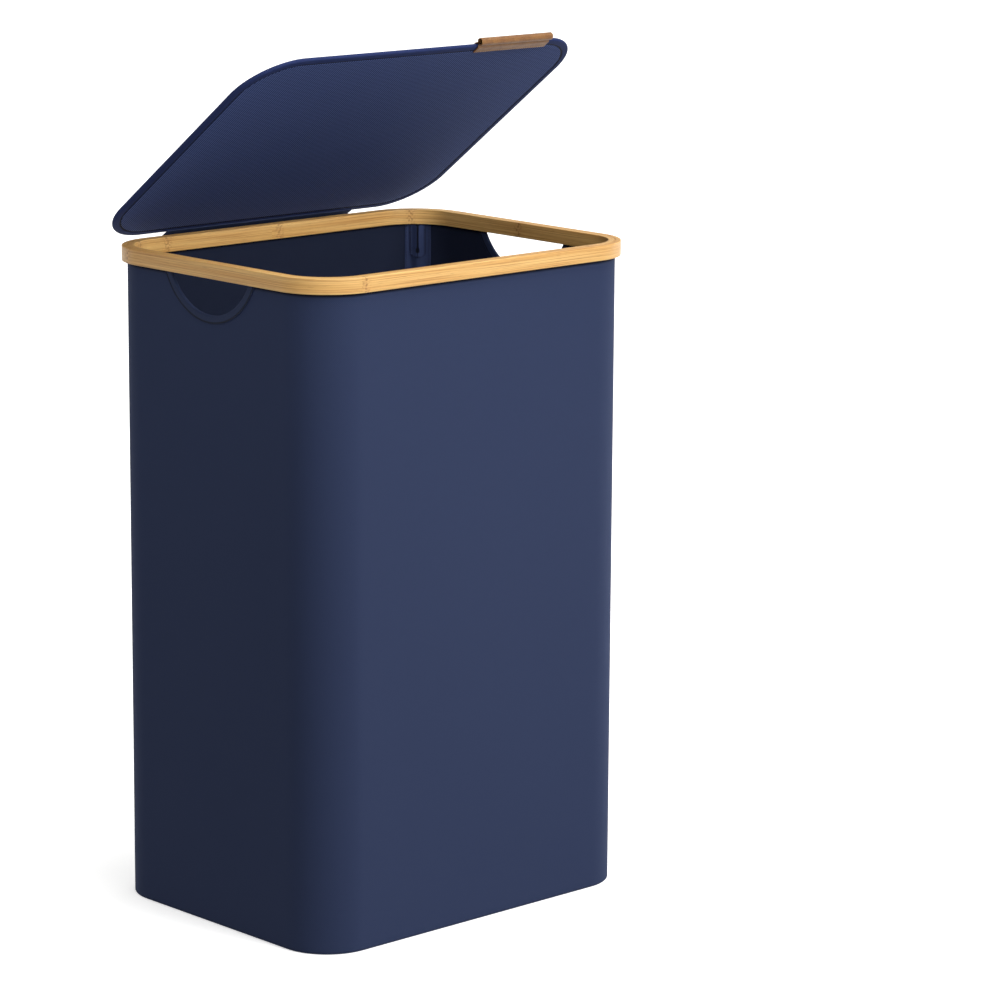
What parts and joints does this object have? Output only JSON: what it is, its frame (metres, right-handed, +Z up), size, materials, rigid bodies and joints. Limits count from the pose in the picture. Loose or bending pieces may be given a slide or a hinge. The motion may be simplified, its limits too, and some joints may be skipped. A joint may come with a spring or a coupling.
{
  "type": "laundry hamper with lid",
  "caption": "Tall fabric laundry hamper with rounded corners, a bamboo rim, hand holes in its sides, corner support rods and a fabric-hinged lid with a leather pull tab.",
  "frame": {"origin": "on the floor, under the middle of the body", "axes": "+Z up, +X across to the right seen from the front, +Y from the front to the hinged back"},
  "size_m": [0.42, 0.3464, 0.8505],
  "materials": {
    "bamboo": "bent bamboo strip, sanded and clear lacquered, satin",
    "body_fabric": "navy coated polyester, plain fine weave, matt",
    "binding_tape": "navy polyester binding, matt, stitched",
    "lid_fabric": "navy polyester with a small dotted weave, matt",
    "lid_tape": "navy polyester edge binding, faint sheen, stitched",
    "stiffener_board": "dense grey board, uncoated",
    "glass_fibre_rod": "pultruded glass fibre, satin",
    "rod_cap": "moulded black PE, satin",
    "tab_leather": "brown PU-coated leather, satin"
  },
  "bodies": {
    "basket": {"rim_outer_ply": "bamboo", "rim_inner_ply": "bamboo", "basket_wall": "body_fabric", "base_panel": "body_fabric", "base_seam_tape": "binding_tape", "bottom_board": "stiffener_board", "bottom_board_cover": "body_fabric", "hand_binding_left": "binding_tape", "hand_binding_right": "binding_tape", "rod_sleeve_1": "body_fabric", "rod_sleeve_2": "body_fabric", "rod_sleeve_3": "body_fabric", "rod_sleeve_4": "body_fabric", "rod_pocket_1": "binding_tape", "rod_pocket_2": "binding_tape", "rod_pocket_3": "binding_tape", "rod_pocket_4": "binding_tape", "support_rod_1": "glass_fibre_rod", "support_rod_2": "glass_fibre_rod", "support_rod_3": "glass_fibre_rod", "support_rod_4": "glass_fibre_rod", "rod_cap_foot_1": "rod_cap", "rod_cap_foot_2": "rod_cap", "rod_cap_foot_3": "rod_cap", "rod_cap_foot_4": "rod_cap", "rod_cap_top_1": "rod_cap", "rod_cap_top_2": "rod_cap", "rod_cap_top_3": "rod_cap", "rod_cap_top_4": "rod_cap", "hinge_strip_sewn": "body_fabric"},
    "strip": {"hinge_strip": "body_fabric"},
    "lid": {"lid_board": "stiffener_board", "lid_cover_top": "lid_fabric", "lid_cover_under": "lid_fabric", "lid_binding": "lid_tape", "pull_tab": "tab_leather"}
  },
  "joints": [
    {"name": "strip_fold", "type": "hinge", "parent": "basket", "child": "strip", "pos_m": [0, 0.1635, 0.6247], "axis": [-1, 0, 0], "range_deg": [-36.4, 113.35]},
    {"name": "lid_seam", "type": "hinge", "parent": "strip", "child": "lid", "pos_m": [0, 0.17445, 0.65232], "axis": [-1, 0, 0], "range_deg": [0, 110]}
  ]
}
